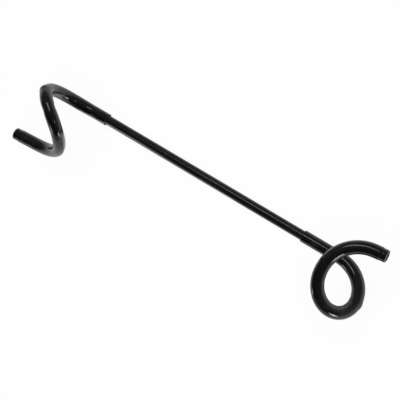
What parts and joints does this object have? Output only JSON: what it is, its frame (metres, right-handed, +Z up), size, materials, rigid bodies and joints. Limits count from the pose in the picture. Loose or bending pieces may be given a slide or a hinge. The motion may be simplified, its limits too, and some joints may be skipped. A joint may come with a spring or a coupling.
{
  "type": "double pigtail rod",
  "caption": "Straight black rod coiled one turn into an open eye at each end, with short tails and a plastic sleeve over each eye.",
  "frame": {"origin": "on the floor the rod lies on, under the centre of the whole part's box", "axes": "+X along the shank towards the end with the longer sleeve lead, +Z up from the floor the rod lies on"},
  "size_m": [0.3362, 0.081, 0.058],
  "materials": {
    "black_paint": "gloss black coating on round steel rod",
    "black_plastic": "gloss black soft plastic tube"
  },
  "bodies": {
    "root": {"bent_rod": "black_paint", "start_sleeve": "black_plastic", "end_sleeve": "black_plastic"}
  },
  "joints": []
}
